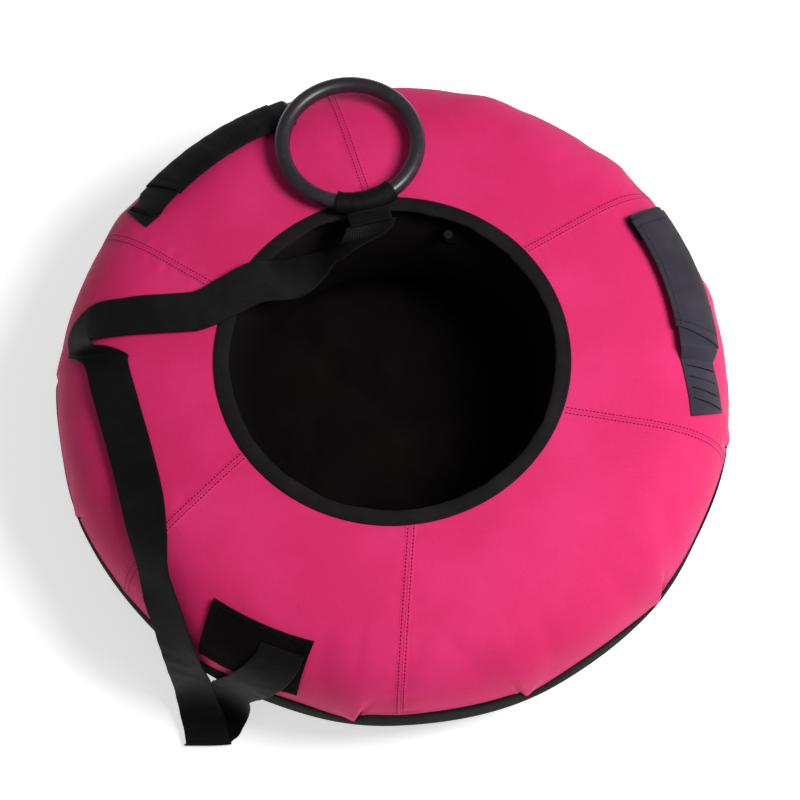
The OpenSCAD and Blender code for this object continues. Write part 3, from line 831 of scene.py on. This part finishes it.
seam_stitches = []
for az0, which in SEAMS:
    for offset in (-ROW_GAP, ROW_GAP):
        rim_az = az0 + which * float(half_angle(OUTER_R))
        s = np.arange(2.5, S_SEAM + float(seam_drop(rim_az)) - 2.0, 1.5)
        r = cover(np.minimum(s, S_RIM))[0]
        line, normals = on_cover(s, az0 + which * half_angle(r) + np.degrees(offset / r), lift=-0.05)
        seam_stitches += row_of_stitches(line, normals, width=0.75, high=0.34)
give(merged("cover_seam_stitching", seam_stitches), DARK_THREAD)

th = np.linspace(0, 2 * math.pi, 1500)
tape_z = np.interp(th, np.linspace(0, 2 * math.pi, BIND_U + 1), closed(bz[:, 2])) - 0.05
tape_line = np.stack([TAPE_ROW_R * np.cos(th), TAPE_ROW_R * np.sin(th), tape_z], -1)
tape_stitches = row_of_stitches(tape_line, np.tile(UP, (len(th), 1)), width=0.4, high=0.25)
give(merged("binding_stitching", tape_stitches), BLACK_THREAD)

# ---------------------------------------------------------------- tow patch

PATCH_W = 120.0
PATCH_TOP, PATCH_BOTTOM = 64, 20
PATCH_HEM = 4.5
x = spaced(PATCH_W, 1.0, 2.6, 9.0) * PATCH_W - PATCH_W / 2
v = spaced(1.0, 0.007, 0.02, 0.06)
s = s_of_section(PATCH_TOP) + v * (s_of_section(PATCH_BOTTOM) - s_of_section(PATCH_TOP))
xx, ss = np.meshgrid(x, s, indexing="ij")
az = TOW_AZ + np.degrees(np.arcsin(xx / cover(ss)[0]))
inset = np.minimum(PATCH_W / 2 - np.abs(xx), np.minimum(ss - s[0], s[-1] - ss))
fat = 0.8 * (1 - smooth(inset, 6.5, 8.0)) - 0.35 * bell(inset - PATCH_HEM, 0.8)
pucker = 0.5 * bell(inset - PATCH_HEM, 7) * wave(61, xx / 15, ss / 15) + 0.6 * wave(62, xx / 60, ss / 70)
corner = 3.0 * bell(xx + PATCH_W / 2, 18) * bell(ss - s[0], 22)
patch_p, _ = on_cover(ss, az, lift=CLOTH_T + 0.9 + fat + pucker + corner)
patch = grid("tow_patch_cloth", patch_p, np.stack([xx, ss], -1) * MM, flip=True, thick=CLOTH_T)
give(patch, BLACK, nodes=("tow_patch",))


def patch_row(x0, s0, x1, s1):
    """Stitches on the patch from one corner of its hem to the next."""
    k = np.linspace(0, 1, 120)
    x, s = x0 + k * (x1 - x0), s0 + k * (s1 - s0)
    p, n = on_cover(s, TOW_AZ + np.degrees(np.arcsin(x / cover(s)[0])), lift=CLOTH_T + 1.35)
    column = [np.abs(xx[:, 0] - a).argmin() for a in x]
    row = [np.abs(ss[0] - b).argmin() for b in s]
    p = p + ((patch_p[column, row] - p) * n).sum(-1, keepdims=True) * n
    return row_of_stitches(p, n)


x_hem = PATCH_W / 2 - PATCH_HEM
s_top, s_low = s[0] + PATCH_HEM, s[-1] - PATCH_HEM
corners = ((-x_hem, s_top), (x_hem, s_top), (x_hem, s_low), (-x_hem, s_low))
rows = []
for (x0, s0), (x1, s1) in zip(corners, corners[1:] + corners[:1]):
    rows += patch_row(x0, s0, x1, s1)
give(merged("tow_patch_stitching", rows), BLACK_THREAD)

# ---------------------------------------------------------------- handles

# The webbing lies between two section angles. Its angles round the tube count from the middle of
# its panel, and its long sewn end runs to the tip, where it has other section angles and a skew.
WEB_LO, WEB_HI, WEB_T, WEB_TIP = 48.5, 73.0, 2.0, -21.0
TIP_RIGHT, TIP_LEFT = (33.5, 62.5, 3.6), (41.0, 68.0, 2.2)
RIGHT_GAP, LEFT_GAP = 12.0, 8.5
RIGHT_START, RIGHT_END = -9.0, 21.5
LEFT_START, LEFT_END = -16.0, 17.0
GRIP_RIGHT_FROM, GRIP_LEFT_FROM = -7, -13.5
GRIP_ARC, GRIP_HEM = 27.0, 0.11
DEG_MM = float(section((WEB_LO + WEB_HI) / 2)[0][0]) * math.pi / 180


def web_rows(gap, lo, hi):
    """The webbing's way as (angle from its panel's middle, height of its middle), as in the CAD."""
    flat, up = WEB_T / 2 + 0.2, gap + WEB_T / 2
    return np.array(
        [(WEB_TIP + (lo - 2.4 - WEB_TIP) * i / 6, flat) for i in range(7)]
        + [(lo - 1.9, flat + 0.12 * gap), (lo - 1.2, flat + 0.5 * gap), (lo - 0.5, up - 0.12 * gap)]
        + [(lo + (hi - 0.9 - lo) * i / 16, up) for i in range(17)]
        + [(hi - 0.35, up - 0.12 * gap), (hi, flat + 0.5 * gap), (hi - 0.35, flat + 0.12 * gap),
           (hi - 0.9, flat), (hi - 2.4, flat), (hi - 4, flat), (hi - 5.5, flat)])


def web_edges(x, lo, tip):
    """The webbing's two edges as section angles, and how far the inner one runs ahead."""
    s = np.maximum(lo - np.asarray(x, float), 0) / (lo - WEB_TIP)
    return WEB_LO + (tip[0] - WEB_LO) * s, WEB_HI + (tip[1] - WEB_HI) * s, tip[2] * s


def off_shoulder(t_deg, high, az):
    """A point at the section angle t, that far off the cover, at the azimuth az."""
    q, _ = section(t_deg, high)
    a = np.radians(az)
    return np.stack([q[..., 0] * np.cos(a), q[..., 0] * np.sin(a), q[..., 1]], -1)


def away(t_deg, az):
    """The way straight off the cover at the section angle t and the azimuth az."""
    return unit(off_shoulder(t_deg, 9.0, az) - off_shoulder(t_deg, 1.0, az))


def handle_web(name, az0, mirror, gap, lo, hi, tip, cad_node, material):
    """A handle's webbing from the tip of its long sewn end to its end folded back under the grip."""
    rows = through(web_rows(gap, lo, hi), 5)
    flat = np.stack([rows[:, 0] * DEG_MM, rows[:, 1]], -1)
    way = unit(np.gradient(flat, axis=0))
    n = np.stack([-way[:, 1], way[:, 0]], -1)
    run = lengths(flat)
    x = ACROSS_X
    ripple = 0.3 * wave(71, run[:, None] / 26, x[None, :])
    k = (ACROSS_TOP * WEB_T / 2 * (0.35 + 0.65 * ACROSS_FAT))[None, :] + ripple * 0.5
    t0, t1, ahead = (e[:, None] for e in web_edges(rows[:, 0], lo, tip))
    tt = (t0 + t1) / 2 + x[None, :] * (t1 - t0) / 2
    high = rows[:, 1][:, None] + k * n[:, 1][:, None]
    az = az0 + mirror * (rows[:, 0][:, None] - ahead * x[None, :] / 2 + k * n[:, 0][:, None] / DEG_MM)
    rim = relief(s_of_section(tt), az) * smooth(-high, -5.0, -1.0)
    p = off_shoulder(tt, high + np.maximum(rim, -1.0), az)
    uv = np.empty((len(rows), 2 * ACROSS + 1, 2))
    uv[..., 0] = run[:, None] * MM
    uv[:, :-1, 1] = x * (STRAP_W / 2) * MM
    uv[:, -1, 1] = uv[:, 0, 1]
    o = grid(name, p, uv, wrap_v=True, caps=True, flip=mirror > 0)
    give(o, material, nodes=(cad_node,))


def handle_tacks(name, az0, mirror, lo, tip, cad_node):
    """Zigzag bar tacks across the long sewn end of a handle."""
    rows = []
    for k in range(4):
        x = WEB_TIP + 2.0 + k * (lo - 5.6 - WEB_TIP) / 3
        t0, t1, _ = web_edges(x, lo, tip)
        t = np.linspace(t0 + 2.5, t1 - 2.5, 27)
        az = az0 + mirror * x + mirror * 0.13 * np.where(np.arange(len(t)) % 2, 1, -1)
        p = off_shoulder(t, WEB_T + 0.55 + relief(s_of_section(t), az), az)
        middles, ways = (p[:-1] + p[1:]) / 2, p[1:] - p[:-1]
        rows += [stitch(*row, length=2.6, **TACK_SIZE) for row in zip(middles, ways, away(t, az))]
    give(merged(name, rows), BLACK_THREAD, nodes=(cad_node,))


def grip(name, a0, gap, body, cad_node, tilt, material):
    """A flat sleeve with folded hems at both ends, open right through."""
    n_edge, n_flat = 9, 26
    low, high = gap - 1.5, gap + WEB_T + 1.5
    t0, t1 = WEB_LO - 1.2, WEB_HI + 1.2
    mid, half_t = (t0 + t1) / 2, (t1 - t0) / 2
    c = np.linspace(0, 2 * math.pi, 2 * (n_edge + n_flat), endpoint=False)
    ct, st = np.cos(c), np.sin(c)
    px = np.sign(ct) * np.abs(ct) ** 0.35
    py = np.sign(st) * np.abs(st) ** 0.75
    along_out, along_in = np.linspace(0, 1, 84), np.linspace(1, 0, 40)

    def ring(k, inside):
        """One loop of the sleeve at the share k of its length."""
        grow = -1.15 if inside else 0.0
        end = bell(k - 1, GRIP_HEM) + bell(k, GRIP_HEM)
        lip = 0.5 * (bell(k - GRIP_HEM * 0.55, 0.02) + bell(k - 1 + GRIP_HEM * 0.55, 0.02))
        puff = 0.55 * wave(81, k * 5, ct * 0.6, st * 0.6) + 0.25 * wave(82, k * 17, ct, st)
        crown = 0.8 * (1 - px ** 2) * (st > 0)
        h = (high - low) / 2 + grow + (0 if inside else 0.5 * end - lip + crown + puff)
        w = half_t + (grow * 0.45 if inside else 0.15 * puff)
        skew = tilt * (2 * px) * bell(k if tilt > 0 else 1 - k, 0.12)
        return off_shoulder(mid + w * px, (high + low) / 2 + h * py, a0 + GRIP_ARC * k + skew)

    outs = [ring(k, False) for k in along_out]
    p = np.array(outs + [ring(k, True) for k in along_in])
    uv = np.zeros((len(p) + 1, len(c) + 1, 2))
    uv[:-1, :, 0] = np.concatenate([along_out, along_in])[:, None] * GRIP_ARC * DEG_MM * MM
    uv[..., 1] = lengths(closed(p[20])) * MM
    o = grid(name, p, uv, wrap_u=True, wrap_v=True, flip=True)
    give(o, material, body=body, nodes=(cad_node,))
    # One row of stitches runs along the sleeve's inner edge, and one across each hem.
    t_row = np.full(200, t1 - 2.6)
    share = np.linspace(0.02, 0.98, len(t_row))
    j = int(np.abs(mid + half_t * px - t_row[0] + 100 * (st < 0.2)).argmin())
    edge = np.array([q[j] for q in outs])
    line = np.array([np.interp(share, along_out, column) for column in edge.T]).T
    rows = row_of_stitches(line, away(t_row, a0 + GRIP_ARC * share))
    keep = st > 0.25
    for k in (GRIP_HEM * 0.62, 1 - GRIP_HEM * 0.62):
        line = ring(k, False)[keep][np.argsort(-px[keep])]
        rows += row_of_stitches(line, np.tile(away(mid, a0 + GRIP_ARC * k), (len(line), 1)))
    give(merged(name + "_stitching", rows), BLACK_THREAD, body=body)


handle_web("handle_webbing_right", RIGHT_AZ, 1, RIGHT_GAP, RIGHT_START, RIGHT_END, TIP_RIGHT,
           "handle_web_right", HANDLE_WEBBING)
# The left handle's webbing takes the darker strap webbing instead of the handle webbing: painted shade for
# the side away from the key light.
handle_web("handle_webbing_left", LEFT_AZ, -1, LEFT_GAP, LEFT_START, LEFT_END, TIP_LEFT,
           "handle_web_left", WEBBING)
handle_tacks("handle_bar_tacks_right", RIGHT_AZ, 1, RIGHT_START, TIP_RIGHT, "handle_tacks_right")
handle_tacks("handle_bar_tacks_left", LEFT_AZ, -1, LEFT_START, TIP_LEFT, "handle_tacks_left")
grip("grip_sleeve_right", RIGHT_AZ + GRIP_RIGHT_FROM, RIGHT_GAP, "right_grip", "grip_right", 0.9, GRIP_CLOTH)
# The left grip takes the darker copy of the grip cloth: painted shade.
grip("grip_sleeve_left", LEFT_AZ + GRIP_LEFT_FROM, LEFT_GAP, "left_grip", "grip_left", -0.5, SHADED_GRIP_CLOTH)

# ---------------------------------------------------------------- hard parts from the frame

HARD = {
    "tow_ring": RING_PLASTIC,
    "valve_base": RUBBER,
    "valve_stem": BRASS,
    "valve_core": BRASS,
    "valve_cap": PLATED,
}
for name, material in HARD.items():
    o = bpy.data.objects[name]
    if not o.material_slots:
        o.data.materials.append(material)
    for slot in o.material_slots:
        slot.material = material

# ---------------------------------------------------------------- floor and light

FLOOR_HALF = 4.0
FLOOR_CORNERS = [(x * FLOOR_HALF, y * FLOOR_HALF, 0) for x, y in ((-1, -1), (1, -1), (1, 1), (-1, 1))]
floor_mesh = bpy.data.meshes.new("floor")
floor_mesh.from_pydata(FLOOR_CORNERS, [], [(0, 1, 2, 3)])
floor = bpy.data.objects.new("floor", floor_mesh)
floor.location.z = -0.0004
scene.collection.objects.link(floor)
floor_material, _, floor_shader = shader("pale_floor", 0.9)
floor_shader.inputs["Base Color"].default_value = rgb(0.93, 0.93, 0.93)
floor_shader.inputs["Emission Color"].default_value = rgb(1, 1, 1)
floor_shader.inputs["Emission Strength"].default_value = 0.6
floor_mesh.materials.append(floor_material)


KEY_AT, KEY_AIM = Vector((0.98, -0.2, 1.6)), Vector((0.05, 0.0, 0.1))
key_data = bpy.data.lights.new("key", "AREA")
key_data.shape, key_data.size, key_data.energy = "DISK", 0.8, 33.0
key = bpy.data.objects.new("key", key_data)
scene.collection.objects.link(key)
key.location = KEY_AT
key.rotation_euler = (KEY_AIM - KEY_AT).to_track_quat("-Z", "Y").to_euler()

world = bpy.data.worlds.new("studio")
world.use_nodes = True
world.node_tree.nodes["Background"].inputs[0].default_value = rgb(1, 1, 1)
world.node_tree.nodes["Background"].inputs[1].default_value = 0.2
scene.world = world
scene.view_settings.view_transform = "Standard"
